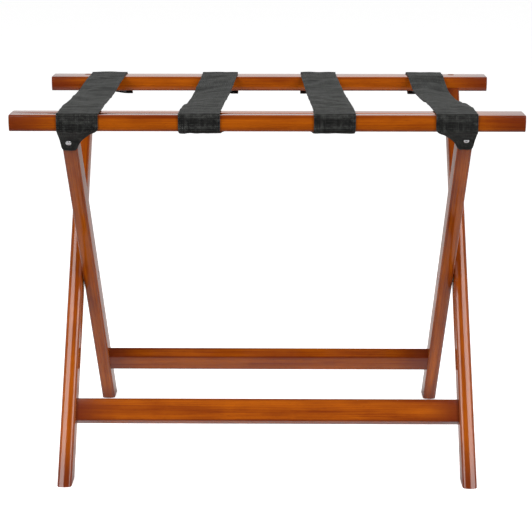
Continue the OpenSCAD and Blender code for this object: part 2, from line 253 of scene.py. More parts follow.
def rail(frameName, rowName, seed):
    facts = frames[frameName]
    node = f"{rowName}_rail"
    place = Matrix.Translation(boxMiddle(node)) @ Matrix.Rotation(math.pi / 2, 4, "Y")
    radii = (bars["railTopRadius"], bars["railBottomRadius"])  # the rail's top is at low local X
    bm = crownedBar(railThick, railWidth, railLength, bars["railCrown"], bars["railTopCrown"], radii)
    easeEnds(bm, railLength, bars["railEndEase"])
    bmesh.ops.transform(bm, matrix=place, verts=bm.verts)
    piece = toPiece(bm, f"{rowName}Rail")
    for side in sides.values():
        x = side * facts["x"]
        gap = 2 * bars["mortiseGap"] * mm
        radius = bars["legRadius"]
        mortise = crownedBar(legWidth + gap, legDepth + gap, 2 * legLength, bars["legCrown"],
                             bars["legSideCrown"], (radius, radius))
        bmesh.ops.transform(mortise, matrix=leaning(frameName, (x, 0, 0)), verts=mortise.verts)
        cutLevel(mortise, legTop + gap, 1)
        cutLevel(mortise, pivotZ, -1)
        cutAway(piece, toPiece(mortise, "mortise"))
        plugHole = plugBlank(frameName, x, plugs["radius"] + bars["mortiseGap"], plugs["holeBlank"])
        cutAway(piece, toPiece(plugHole, "plugHole"))
    finishBar(piece, place, (railThick, railWidth, railLength), seed, node, facts["body"])


def stretcher(frameName, rowName, seed):
    facts = frames[frameName]
    node = f"{rowName}_stretcher"
    length, tall, high = boxSize(node)
    radius = bars["stretcherRadius"] * mm
    # the leaning section's box gives its width and thickness, with the rounded edges allowed for
    c, s = math.cos(lean), math.sin(lean)
    reachY, reachZ = tall / 2 - radius, high / 2 - radius
    width = 2 * ((reachZ * c - reachY * s) / (c * c - s * s) + radius)
    thick = 2 * ((reachY * c - reachZ * s) / (c * c - s * s) + radius)
    tilt = Matrix.Rotation(facts["lean"] * lean, 4, "X")
    place = Matrix.Translation(boxMiddle(node)) @ tilt @ Matrix.Rotation(math.pi / 2, 4, "Y")
    radii = (bars["stretcherRadius"], bars["stretcherRadius"])
    bm = crownedBar(width, thick, length, bars["stretcherCrown"], bars["legSideCrown"], radii)
    bmesh.ops.transform(bm, matrix=place, verts=bm.verts)
    piece = toPiece(bm, f"{rowName}Stretcher")
    finishBar(piece, place, (width, thick, length), seed, node, facts["body"])


# the plugs over the rail screws

plugs = {"radius": 4.8, "depth": 6, "proud": 0.12, "ease": 0.25, "segments": 40, "blank": 30,
         "holeBlank": 40}


def plugBlank(frameName, x, radius, height):
    bm = bmesh.new()
    bmesh.ops.create_cone(bm, cap_ends=True, segments=plugs["segments"], radius1=radius * mm,
                          radius2=radius * mm, depth=height * mm)
    seat = (railTop - pivotZ) / math.cos(lean) - plugs["depth"] * mm + height * mm / 2
    bmesh.ops.transform(bm, matrix=leaning(frameName, (x, 0, seat)), verts=bm.verts)
    return bm


def railPlugs(frameName, rowName):
    facts = frames[frameName]
    both = bmesh.new()
    for side in sides.values():
        bm = plugBlank(frameName, side * facts["x"], plugs["radius"], plugs["blank"])
        rim = cutLevel(bm, railTop + plugs["proud"] * mm, 1)
        roundEdges(bm, rim, plugs["ease"] * mm, 2)
        joinMeshes(both, bm)
    piece = toPiece(both, f"{rowName}RailPlugs")
    tidyMesh(piece)
    addAttribute(piece, "grainPos", "FLOAT_VECTOR", [v.co.zyx for v in piece.data.vertices])
    piece.data.materials.append(plugWood)
    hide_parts(f"{rowName}_rail_plugs")
    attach(piece, facts["body"])


# the pivot bolts, nuts and washers

pivots = {"shank": 3, "head": 6, "headThick": 2.6, "socket": 2, "socketDepth": 1.5,
          "nut": 5.25, "nutThick": 4.2, "slotWidth": 1.3, "slotDepth": 1.1,
          "recess": 4.6, "clearance": 0.6, "bore": 3.05, "washer": 9.5, "washerThick": 0.9,
          "slotTurn": 35, "steps": 48, "washerSteps": 64}


def alongX(side, x):  # Z of the shape turns outwards along X, from a plane at x
    return Matrix.Translation((side * x, 0, pivotZ)) @ Matrix.Rotation(side * math.pi / 2, 4, "Y")


def pivotCutter(side):
    inside = innerLegX - legWidth / 2
    outside = outerLegX + legWidth / 2
    through = (outside - inside) / mm
    nutR = pivots["nut"] + pivots["clearance"]
    headR = pivots["head"] + pivots["clearance"]
    profile = [(0, -3), (nutR, -3), (nutR, pivots["recess"]), (pivots["bore"], pivots["recess"]),
               (pivots["bore"], through - pivots["recess"]), (headR, through - pivots["recess"]),
               (headR, through + 3), (0, through + 3)]
    return toPiece(lathe(profile, pivots["steps"], alongX(side, inside)), "pivotCutter")


def pivotBolt(sideName):
    side = sides[sideName]
    seat = outerLegX + legWidth / 2 - pivots["recess"] * mm
    grip = (seat - (innerLegX - legWidth / 2)) / mm - pivots["recess"]
    tip = -grip - pivots["nutThick"]
    r, thick = pivots["head"], pivots["headThick"]
    profile = [(0, thick), (r * 0.55, thick - 0.05), (r * 0.85, thick * 0.8), (r * 0.98, thick * 0.45),
               (r, 0.2), (r - 0.2, 0.03), (pivots["shank"], 0.03), (pivots["shank"], tip + 0.5),
               (pivots["shank"] - 0.5, tip), (0, tip)]
    piece = toPiece(lathe(profile, pivots["steps"], alongX(side, seat)), f"pivotBolt{sideName.capitalize()}")
    hexagon = bmesh.new()
    bmesh.ops.create_cone(hexagon, cap_ends=True, segments=6, radius1=pivots["socket"] * mm,
                          radius2=pivots["socket"] * mm, depth=2 * pivots["socketDepth"] * mm)
    socket = alongX(side, seat + thick * mm)
    bmesh.ops.transform(hexagon, matrix=socket, verts=hexagon.verts)
    cutAway(piece, toPiece(hexagon, "socket"))
    finishMetal(piece, f"pivot_bolt_{sideName}", "inner_frame", zincSteel)


def pivotNut(sideName):
    side = sides[sideName]
    seat = innerLegX - legWidth / 2 + pivots["recess"] * mm
    r, thick, bore = pivots["nut"], pivots["nutThick"], pivots["bore"]
    profile = [(bore, -0.05), (r, -0.05), (r, 0.5 - thick), (r - 0.5, -thick), (bore + 0.4, -thick),
               (bore, 0.4 - thick), (bore, -0.05)]
    piece = toPiece(lathe(profile, pivots["steps"], alongX(side, seat)), f"pivotNut{sideName.capitalize()}")
    slot = bmesh.new()
    bmesh.ops.create_cube(slot, size=1)
    bmesh.ops.scale(slot, vec=(3 * r * mm, pivots["slotWidth"] * mm, 2 * pivots["slotDepth"] * mm),
                    verts=slot.verts)
    turn = Matrix.Rotation(math.radians(pivots["slotTurn"]), 4, "Z")
    bmesh.ops.transform(slot, matrix=alongX(side, seat - thick * mm) @ turn, verts=slot.verts)
    cutAway(piece, toPiece(slot, "slot"))
    finishMetal(piece, f"pivot_nut_{sideName}", "inner_frame", zincSteel)


def pivotWasher(sideName):
    side = sides[sideName]
    low = boxMiddle(f"pivot_washer_{sideName}").x * side - pivots["washerThick"] * mm / 2
    r, thick, bore = pivots["washer"], pivots["washerThick"], pivots["bore"]
    profile = [(bore, 0), (r - 0.25, 0), (r, 0.25), (r, thick - 0.25), (r - 0.25, thick), (bore, thick),
               (bore, 0)]
    turned = lathe(profile, pivots["washerSteps"], alongX(side, low))
    piece = toPiece(turned, f"pivotWasher{sideName.capitalize()}")
    finishMetal(piece, f"pivot_washer_{sideName}", "inner_frame", nylon)


def finishMetal(piece, node, body, material):
    tidyMesh(piece, 30)
    piece.data.materials.append(material)
    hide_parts(node)
    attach(piece, body)


# the screws through the strap tabs

tabScrew = {"radius": 3.8, "rise": 1.8, "shank": 1.75, "length": 12, "crossWidth": 0.95,
            "crossReach": 2.2, "crossDepth": 1.3, "crossNarrowing": 0.45, "steps": 48,
            "turns": {"left": 20, "right": -28}}


def tabScrews():
    both = bmesh.new()
    for sideName in sides:
        r, rise, shank, length = (tabScrew[k] for k in ("radius", "rise", "shank", "length"))
        profile = [(0, rise), (r * 0.45, rise * 0.93), (r * 0.75, rise * 0.72), (r * 0.93, rise * 0.4),
                   (r, 0.12), (r - 0.12, 0), (shank, 0), (shank, 2 - length), (0.2, -length), (0, -length)]
        seat = tabScrewSeat(sideName)
        turned = seat @ Matrix.Rotation(math.radians(tabScrew["turns"][sideName]), 4, "Z")
        piece = toPiece(lathe(profile, tabScrew["steps"], turned), "screw")
        for quarter in (0, math.pi / 2):
            arm = bmesh.new()
            bmesh.ops.create_cube(arm, size=1)
            size = (2 * tabScrew["crossReach"], tabScrew["crossWidth"], 2 * tabScrew["crossDepth"])
            bmesh.ops.scale(arm, vec=[c * mm for c in size], verts=arm.verts)
            for v in arm.verts:
                if v.co.z < 0:  # the recess narrows towards its bottom
                    v.co.x *= tabScrew["crossNarrowing"]
            at = turned @ Matrix.Rotation(quarter, 4, "Z") @ Matrix.Translation((0, 0, rise * mm))
            bmesh.ops.transform(arm, matrix=at, verts=arm.verts)
            cutAway(piece, toPiece(arm, "arm"))
        both.from_mesh(piece.data)
        bpy.data.objects.remove(piece)
    finishMetal(toPiece(both, "tabScrews"), "strap_tab_screws", "inner_frame", zincSteel)


def tabScrewSeat(sideName):
    # square to the leg's lower face, on the webbing; the left screw is the lower one of the two
    low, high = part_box("strap_tab_screws")
    outFromLeg = legDepth / 2 + strapGap + strapThick
    if sideName == "left":
        seatZ = low.z + tabScrew["radius"] * mm * math.cos(lean)
    else:
        seatZ = high.z - tabScrew["length"] * mm * math.sin(lean) - tabScrew["shank"] * mm * math.cos(lean)
    up = (seatZ - pivotZ + outFromLeg * math.sin(lean)) / math.cos(lean)
    place = (sides[sideName] * innerLegX, -outFromLeg, up)
    return leaning("inner", place) @ Matrix.Rotation(math.pi / 2, 4, "X")


# the webbing straps

webbing = {"gap": 0.1, "tuck": 34, "row": 1.6, "columns": 16, "rim": 0.45, "settle": 60,
           "blendBefore": 3, "blendAfter": 12, "edgeWander": 0.5, "wanderPerMetre": 34,
           "wrinkle": 2.4, "wrinklesPerMetre": 34, "fineShare": 0.25, "finePerMetre": 85,
           "cornerEase": 1.0, "cornerReach": 7, "bottomWave": 2.2, "bottomReach": 5.5,
           "spanEase": 14, "middleEase": 30, "bulgeAt": 0.13, "bulgeReach": 0.03,
           "skewFrom": 8, "droopReach": 17}
strapTabs = {"onLeg": {"left_end": 15.5, "right_end": 12.5}, "swing": 15.5, "swingLength": 8,
             "halfWidth": 9.8, "corner": 7, "cornerPull": 0.25, "turn": 9, "turnShare": 0.34,
             "curve": 1.6, "foldRise": 1.4, "foldReach": 6}
strapGap = webbing["gap"] * mm
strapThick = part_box("left_middle_strap_front_wrap")[1].z - railTop - strapGap
strapWidth = boxSize("left_middle_strap_front_wrap").x
strapHinge = -next(j for j in frame["joints"] if j["name"] == "strap_front_drop")["pos_m"][1]
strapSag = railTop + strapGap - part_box("left_middle_strap_front_half")[0].z
railOuter = railY + railWidth / 2

# sags are (where along the span from the rear, how far that edge hangs below the taut strap in mm)
straps = {
    "left_end": {"seed": 1, "leftSag": (0.5, 0.6), "rightSag": (0.5, 0.4), "droopSide": 1,
                 "droop": 3.0, "rearSkew": 2.6, "frontSkew": 0, "bulge": 1.6, "rearShift": -8},
    "left_middle": {"seed": 2, "leftSag": (0.62, 5.5), "rightSag": (0.5, 0.4), "droopSide": 1,
                    "droop": 3.2, "rearSkew": 1.5, "frontSkew": 7.5, "bulge": 0, "rearShift": 0},
    "right_middle": {"seed": 3, "leftSag": (0.5, 0.5), "rightSag": (0.5, 0.5), "droopSide": -1,
                     "droop": 3.2, "rearSkew": -1.0, "frontSkew": -5.5, "bulge": 0, "rearShift": 0},
    "right_end": {"seed": 4, "leftSag": (0.24, 8.0), "rightSag": (0.24, 13.0), "droopSide": -1,
                  "droop": 3.6, "rearSkew": 0.5, "frontSkew": 0, "bulge": 0.6, "rearShift": 0}}


def alongPath(path, s):  # how far outward and up, and the heading, after going s along the path
    o, z = path["start"]
    heading = path["heading"]
    for length, turn in path["moves"]:
        step = min(s, length)
        if abs(turn) < 1e-9:
            o += step * math.cos(heading)
            z += step * math.sin(heading)
        else:
            bend = turn * step / length
            radius = length / turn
            o += radius * (math.sin(heading + bend) - math.sin(heading))
            z += radius * (math.cos(heading) - math.cos(heading + bend))
            heading += bend
        s -= step
        if s <= 0:
            break
    return o, z, heading


def pathLength(path):
    return sum(length for length, turn in path["moves"])


def arc(turn, radius):
    return (abs(turn) * radius, turn)


def overRail(path):  # up the rail's outer face, over its top and down the span to the middle
    topR = bars["railTopRadius"] * mm
    path["corner"] = pathLength(path)  # where the lower corner's bend ends
    z = alongPath(path, pathLength(path))[1]
    path["moves"].append((railTop - topR - z, 0))
    path["topCorner"] = pathLength(path)
    path["moves"].append(arc(math.pi / 2, topR + strapGap + strapThick / 2))
    o = alongPath(path, pathLength(path))[0]
    path["moves"].append((o - strapHinge, 0))
    slope = math.atan2(strapSag, strapHinge)
    path["span"] = pathLength(path)
    path["moves"].append((webbing["settle"] * mm, slope))
    o = alongPath(path, pathLength(path))[0]
    path["moves"].append((o / math.cos(slope), 0))
    return path


def tuckedPath():  # starts under the rail and goes outward
    half = strapGap + strapThick / 2
    bottomR = bars["railBottomRadius"] * mm
    tuck = webbing["tuck"] * mm
    moves = [(tuck - bottomR, 0), arc(math.pi / 2, bottomR + half)]
    return overRail({"start": (railOuter - tuck, railBottom - half), "heading": 0, "moves": moves})


def tabPath(strapName):
    # from the tab's tip up the leg's lower face, then out to the rail's lower corner
    half = strapGap + strapThick / 2
    bottomR = bars["railBottomRadius"] * mm
    upLeg = math.pi / 2 - lean
    outward = upLeg - math.radians(strapTabs["swing"])
    moves = [(strapTabs["onLeg"][strapName] * mm, 0), (strapTabs["swingLength"] * mm, outward - upLeg),
             arc(math.pi / 2 - outward, bottomR + half)]
    path = {"start": (0, 0), "heading": upLeg, "moves": moves}
    o, z, heading = alongPath(path, pathLength(path))
    start = Vector((railOuter + half - o, railBottom + bottomR - z))
    # the free stretch between leg and rail is as long as puts the tip on the leg's face
    face = math.tan(lean) * (start.y - pivotZ) + (legDepth / 2 + half) / math.cos(lean)
    free = (start.x - face) / (math.cos(outward) - math.tan(lean) * math.sin(outward))
    path["start"] = tuple(start - free * Vector((math.cos(outward), math.sin(outward))))
    moves.insert(2, (free, 0))
    return overRail(path)


def flatBlank(width, length):  # webbing as cut: width on X, length on Y, thickness on Z
    rows = round(length / (webbing["row"] * mm))
    bm = bmesh.new()
    bmesh.ops.create_grid(bm, x_segments=webbing["columns"], y_segments=rows, size=0.5)
    bmesh.ops.scale(bm, vec=(width, length, 1), verts=bm.verts)
    bmesh.ops.translate(bm, vec=(0, length / 2, 0), verts=bm.verts)
    bmesh.ops.solidify(bm, geom=bm.faces[:], thickness=strapThick)
    lowest = min(v.co.z for v in bm.verts)
    bmesh.ops.translate(bm, vec=(0, 0, -lowest - strapThick / 2), verts=bm.verts)
    rim = [e for e in bm.edges
           if abs(e.verts[0].co.z - e.verts[1].co.z) < 1e-6
           and (all(abs(abs(v.co.x) - width / 2) < 1e-6 for v in e.verts)
                or all(abs(v.co.y) < 1e-6 for v in e.verts))]
    roundEdges(bm, rim, webbing["rim"] * mm, 2)
    return bm


def sagShape(fromRear, deepest):  # 0 at both rails and 1 at its deepest
    if fromRear < deepest:
        return math.sin(math.pi / 2 * max(0, fromRear) / deepest)
    return math.cos(math.pi / 2 * min(1, (fromRear - deepest) / (1 - deepest))) ** 2


def strapCentres(strapName):  # where the strap lies on the front rail and on the rear rail
    rear = boxMiddle(f"{strapName}_strap_rear_wrap").x
    low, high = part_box(f"{strapName}_strap_front_half")
    front = high.x - strapWidth / 2 if rear > 0 else low.x + strapWidth / 2
    return front, rear


def wrinkleLift(seed, u, s, path, onSpan, offMiddle):
    askew = s * webbing["wrinklesPerMetre"] + u * 0.6
    lift = noise.noise(Vector((u * 0.9 + seed, askew, seed)))
    fine = noise.noise(Vector((u * 1.2 - seed, s * webbing["finePerMetre"], seed + 5)))
    lift += webbing["fineShare"] * fine
    lift *= webbing["wrinkle"] * mm * (1 - 0.5 * u * u)  # less at the edges
    # over the rail the wrinkles only stand proud of the wood, and both halves meet flat midway
    lift = lift * offMiddle * onSpan + abs(lift) * 0.5 * (1 - onSpan)
    # loose cloth round the rail's lower corner, and a soft turn over its upper one
    loose = math.exp(-((s - path["corner"] + 3 * mm) / (webbing["bottomReach"] * mm)) ** 2)
    wave = 0.5 + noise.noise(Vector((u * 2.6, seed, 1.7)))
    fromTop = (s - path["topCorner"]) / (webbing["cornerReach"] * mm)
    lift += webbing["cornerEase"] * mm * math.exp(-fromTop ** 2)
    return lift + loose * webbing["bottomWave"] * mm * max(0, wave)


def strapHalf(strapName, row):  # row is front or rear
    facts = straps[strapName]
    frontX, rearX = strapCentres(strapName)
    outSign = -1 if row == "front" else 1
    outer = -1 if strapName.startswith("left") else 1
    tabbed = row == "front" and strapName.endswith("end")
    path = tabPath(strapName) if tabbed else tuckedPath()
    length = pathLength(path)
    title = strapName.replace("_", " ").title().replace(" ", "")
    piece = toPiece(flatBlank(strapWidth, length), f"strap{title}{row.title()}")
    addAttribute(piece, "clothPos", "FLOAT_VECTOR", [v.co.copy() for v in piece.data.vertices])
    seed = facts["seed"] * 7.3 + (0 if row == "front" else 3.1)
    turnFrom = path["corner"] - strapTabs["turn"] * mm
    for v in piece.data.vertices:
        across, s, layer = v.co
        u = across / (strapWidth / 2)  # -1 at the left edge, 1 at the right edge
        o, z, heading = alongPath(path, s)
        y = outSign * o
        fromRear = 0.5 - 0.5 * max(-1, min(1, y / strapHinge))
        onSpan = smooth(path["span"], path["span"] + webbing["spanEase"] * mm, s)
        offMiddle = smooth(0, webbing["middleEase"] * mm, abs(y))  # 0 where the halves meet
        lift = wrinkleLift(seed, u, s, path, onSpan, offMiddle)
        edge = noise.noise(Vector((s * webbing["wanderPerMetre"], seed, 9.1 if u > 0 else -9.1)))
        shift = facts["rearShift"] * mm * (smooth(0, path["corner"], s) if row == "rear" else 1)
        x = rearX + shift + (frontX - rearX - shift) * fromRear + across
        x += u * abs(u) * edge * webbing["edgeWander"] * mm * offMiddle
        fromBulge = (y + webbing["bulgeAt"]) / webbing["bulgeReach"]
        x += outer * facts["bulge"] * mm * smooth(0.2, 1, outer * u) * math.exp(-fromBulge ** 2)
        for side, (deepest, deep) in ((-1, facts["leftSag"]), (1, facts["rightSag"])):
            z -= deep * mm * smooth(-0.7, 1, side * u) * sagShape(fromRear, deepest)
        if tabbed:  # the tab narrows to its rounded tip, and its inner edge is folded under
            inward = -outer * u
            tip = outer * innerLegX + u * strapTabs["halfWidth"] * mm
            grown = min(1, s / turnFrom)
            share = strapTabs["turnShare"]
            pull = share * (1 - smooth(turnFrom, path["corner"] - 1 * mm, s))
            pull += (1 - share) * (1 - grown ** strapTabs["curve"])
            x += (tip - x) * (pull if inward > 0 else 1 - smooth(0, 1, grown))
            corner = max(0, 1 - s / (strapTabs["corner"] * mm))
            x += (outer * innerLegX - x) * strapTabs["cornerPull"] * corner ** 2
            if layer > 0:
                fold = smooth(0.45, 0.95, inward) * smooth(0, strapTabs["foldReach"] * mm, s)
                fold *= 1 - smooth(turnFrom, path["corner"], s)
                lift += fold * strapTabs["foldRise"] * mm
        else:  # the tucked end is a little askew, and a corner of the rear one hangs
            skew = facts["rearSkew"] if row == "rear" else facts["frontSkew"]
            x += skew * mm * (1 - smooth(webbing["skewFrom"] * mm, path["corner"], s))
            if row == "rear":
                free = 1 - smooth(0, webbing["droopReach"] * mm, s)
                z -= facts["droop"] * mm * free * smooth(-0.2, 0.7, facts["droopSide"] * u)
        offset = layer + lift
        v.co = (x, outSign * (o + math.sin(heading) * offset), z - math.cos(heading) * offset)
    finishStrap(piece, strapName, row)


def finishStrap(piece, strapName, row):
    bm = bmesh.new()
    bm.from_mesh(piece.data)
    bmesh.ops.recalc_face_normals(bm, faces=bm.faces)
    bm.to_mesh(piece.data)
    bm.free()
    piece.data.shade_smooth()
    piece.data.set_sharp_from_angle(angle=math.radians(50))
    piece.data.materials.append(blackWebbing)
    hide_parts(f"{strapName}_strap_{row}_wrap", f"{strapName}_strap_{row}_half")
    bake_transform(piece)


# materials

def newSocketGroup(name, inputs, outputs):
    group = bpy.data.node_groups.new(name, "ShaderNodeTree")
    for label, kind in inputs:
        group.interface.new_socket(label, in_out="INPUT", socket_type=kind)
    for label, kind in outputs:
        group.interface.new_socket(label, in_out="OUTPUT", socket_type=kind)
    return group, group.nodes.new("NodeGroupInput"), group.nodes.new("NodeGroupOutput")


def mapRange(tree, value, low, high, toLow=0, toHigh=1):
    node = tree.nodes.new("ShaderNodeMapRange")
    node.interpolation_type = "SMOOTHSTEP"
    tree.links.new(value, node.inputs["Value"])
    for label, number in (("From Min", low), ("From Max", high), ("To Min", toLow), ("To Max", toHigh)):
        node.inputs[label].default_value = number
    return node.outputs["Result"]


def stretchedNoise(tree, vector, scale, detail, distortion=0):
    mapping = tree.nodes.new("ShaderNodeMapping")
    mapping.inputs["Scale"].default_value = scale
    tree.links.new(vector, mapping.inputs["Vector"])
    node = tree.nodes.new("ShaderNodeTexNoise")
    node.inputs["Scale"].default_value = 1
    node.inputs["Detail"].default_value = detail
    node.inputs["Distortion"].default_value = distortion
    tree.links.new(mapping.outputs["Vector"], node.inputs["Vector"])
    return node.outputs["Fac"]


def calculate(tree, operation, first, second=0):
    node = tree.nodes.new("ShaderNodeMath")
    node.operation = operation
    for socket, value in zip(node.inputs, (first, second)):
        if isinstance(value, (int, float)):
            socket.default_value = value
        else:
            tree.links.new(value, socket)
    return node.outputs["Value"]


def addUp(tree, *parts):  # each part is a value and its weight
    total = None
    for value, weight in parts:
        weighted = calculate(tree, "MULTIPLY", value, weight)
        total = weighted if total is None else calculate(tree, "ADD", total, weighted)
    return total


def mixColours(tree, share, first, second):
    node = tree.nodes.new("ShaderNodeMix")
    node.data_type = "RGBA"
    for socket, value in ((node.inputs[0], share), (node.inputs[6], first), (node.inputs[7], second)):
        if isinstance(value, (int, float, tuple)):
            socket.default_value = value
        else:
            tree.links.new(value, socket)
    return node.outputs[2]


def waveAcross(tree, vector, direction, pitch):
    node = tree.nodes.new("ShaderNodeTexWave")
    node.wave_type = "BANDS"
    node.bands_direction = direction
    perMetre = 2 * math.pi / (20 * pitch * mm)
    node.inputs["Scale"].default_value = perMetre * (2 if direction == "DIAGONAL" else 1)
    node.inputs["Distortion"].default_value = 0.6
    node.inputs["Detail"].default_value = 1
    node.inputs["Detail Scale"].default_value = 0.7
    tree.links.new(vector, node.inputs["Vector"])
    return node.outputs["Fac"]


def makeWoodGrain():
    # slow mottled figure, fine streaks along the grain, short dark pores, and a height that also has the
    # planer's ripple, all from a place on the bar in metres
    group, inside, outside = newSocketGroup("woodGrain", [("Place", "NodeSocketVector")],
                                            [("Figure", "NodeSocketFloat"), ("Streaks", "NodeSocketFloat"),
                                             ("Pores", "NodeSocketFloat"), ("Height", "NodeSocketFloat")])
    place = inside.outputs["Place"]
    figure = mapRange(group, stretchedNoise(group, place, (55, 55, 3.2), 5, 0.6), 0.3, 0.7)
    mottle = mapRange(group, stretchedNoise(group, place, (42, 42, 20), 3), 0.35, 0.65)
    figure = addUp(group, (figure, 0.72), (mottle, 0.28))
    streaks = mapRange(group, stretchedNoise(group, place, (620, 620, 9), 3), 0.3, 0.7)
    pores = mapRange(group, stretchedNoise(group, place, (2400, 2400, 110), 2), 0.6, 0.72)
    ripple = waveAcross(group, place, "Z", woodLooks["planerPitch"])
    height = addUp(group, (streaks, 0.3), (pores, -1), (ripple, 0.5))
    for label, value in (("Figure", figure), ("Streaks", streaks), ("Pores", pores), ("Height", height)):
        group.links.new(value, outside.inputs[label])
    return group


def newMaterial(name, **sockets):
    material = bpy.data.materials.new(name)
    material.use_nodes = True
    shader = material.node_tree.nodes["Principled BSDF"]
    for label, value in sockets.items():
        shader.inputs[label.replace("_", " ")].default_value = value
    return material, material.node_tree, shader


def readAttribute(tree, name):
    node = tree.nodes.new("ShaderNodeAttribute")
    node.attribute_name = name
    return node


def bumpInto(tree, shader, height, strength, distance):
    bump = tree.nodes.new("ShaderNodeBump")
    bump.inputs["Strength"].default_value = strength
    bump.inputs["Distance"].default_value = distance
    tree.links.new(height, bump.inputs["Height"])
    tree.links.new(bump.outputs["Normal"], shader.inputs["Normal"])


def useGroup(tree, group, label, value):
    node = tree.nodes.new("ShaderNodeGroup")
    node.node_tree = group
    tree.links.new(value, node.inputs[label])
    return node.outputs


# the edges colour is painted shade for a band along the long edges; the other colours are stain, end grain
# and pores
woodLooks = {"light": (0.50, 0.113, 0.004, 1), "dark": (0.20, 0.029, 0.003, 1),
             "ends": (0.13, 0.016, 0.006, 1), "pores": (0.10, 0.016, 0.004, 1),
             "edges": (0.13, 0.017, 0.004, 1), "endsFrom": 0.76, "endsTo": 1.02, "endsShare": 0.8,
             "edgeShadeShare": 0.85, "poresShare": 0.45, "figure": 0.7, "streaks": 0.35,
             "lacquerRoughness": 0.09, "lacquerIor": 1.42, "edgeCoat": 0.3, "rubbedFrom": 0.75,
             "planerPitch": 3.2}


def makeStainedWood():
    material, tree, shader = newMaterial("Cherry stained wood under gloss lacquer", Coat_Weight=1,
                                         Coat_Roughness=woodLooks["lacquerRoughness"],
                                         Coat_IOR=woodLooks["lacquerIor"], Specular_IOR_Level=0)
    grain = useGroup(tree, woodGrain, "Place", readAttribute(tree, "grainPos").outputs["Vector"])
    share = addUp(tree, (grain["Figure"], woodLooks["figure"]), (grain["Streaks"], woodLooks["streaks"]))
    colour = mixColours(tree, share, woodLooks["light"], woodLooks["dark"])
    along = calculate(tree, "ABSOLUTE", readAttribute(tree, "alongBar").outputs["Fac"])
    ends = mapRange(tree, along, woodLooks["endsFrom"], woodLooks["endsTo"], 0, woodLooks["endsShare"])
    colour = mixColours(tree, ends, colour, woodLooks["ends"])  # end grain drinks more stain
    nearEdge = readAttribute(tree, "nearEdge").outputs["Fac"]
    rubbed = mapRange(tree, nearEdge, woodLooks["rubbedFrom"], 1, 1, woodLooks["edgeCoat"])
    tree.links.new(rubbed, shader.inputs["Coat Weight"])  # the lacquer is thin on the long edges
    edges = calculate(tree, "MULTIPLY", nearEdge, woodLooks["edgeShadeShare"])
    colour = mixColours(tree, edges, colour, woodLooks["edges"])  # painted shade: a darker band along the long edges stands in for the shade of their rounded profile
    pores = calculate(tree, "MULTIPLY", grain["Pores"], woodLooks["poresShare"])
    colour = mixColours(tree, pores, colour, woodLooks["pores"])
    tree.links.new(colour, shader.inputs["Base Color"])
    tree.links.new(mapRange(tree, grain["Streaks"], 0, 1, 0.42, 0.58), shader.inputs["Roughness"])
    bumpInto(tree, shader, grain["Height"], 0.25, 0.0001)
    return material


def makePlugWood():
    material, tree, shader = newMaterial("Stained end grain plug", Specular_IOR_Level=0.15)
    grain = useGroup(tree, woodGrain, "Place", readAttribute(tree, "grainPos").outputs["Vector"])
    colour = mixColours(tree, grain["Figure"], (0.34, 0.105, 0.035, 1), (0.20, 0.055, 0.018, 1))
    colour = mixColours(tree, grain["Pores"], colour, (0.04, 0.010, 0.005, 1))
    tree.links.new(colour, shader.inputs["Base Color"])
    tree.links.new(mapRange(tree, grain["Streaks"], 0, 1, 0.45, 0.65), shader.inputs["Roughness"])
    bumpInto(tree, shader, grain["Height"], 0.4, 0.0001)
    return material


def makeDowelWood():
    material, tree, shader = newMaterial("Bare beech dowel")
    place = tree.nodes.new("ShaderNodeTexCoord").outputs["Object"]
    turned = tree.nodes.new("ShaderNodeMapping")
    turned.inputs["Rotation"].default_value = (0, math.pi / 2, 0)
    tree.links.new(place, turned.inputs["Vector"])
    grain = useGroup(tree, woodGrain, "Place", turned.outputs["Vector"])
    colour = mixColours(tree, grain["Streaks"], (0.62, 0.42, 0.24, 1), (0.50, 0.32, 0.17, 1))
    colour = mixColours(tree, grain["Pores"], colour, (0.36, 0.21, 0.10, 1))
    tree.links.new(colour, shader.inputs["Base Color"])
    tree.links.new(mapRange(tree, grain["Figure"], 0, 1, 0.6, 0.75), shader.inputs["Roughness"])
    bumpInto(tree, shader, grain["Height"], 0.5, 0.0001)
    return material


# one of these pattern weights is painted shade: light and dark bands across the strap in place of the
# shading of its soft folds
clothLooks = {"ribPitch": 2.7, "pickPitch": 2.2, "base": (0.002, 0.0021, 0.002, 1),
              "worn": (0.12, 0.123, 0.115, 1), "ribs": 0.12, "weave": 0.6, "blotch": 0.2,
              "streaks": 0.12, "fuzz": 0.4, "foldShadeBands": 0.3, "blackest": 0.65,
              "sheen": 0.05, "sheenRoughness": 0.45}


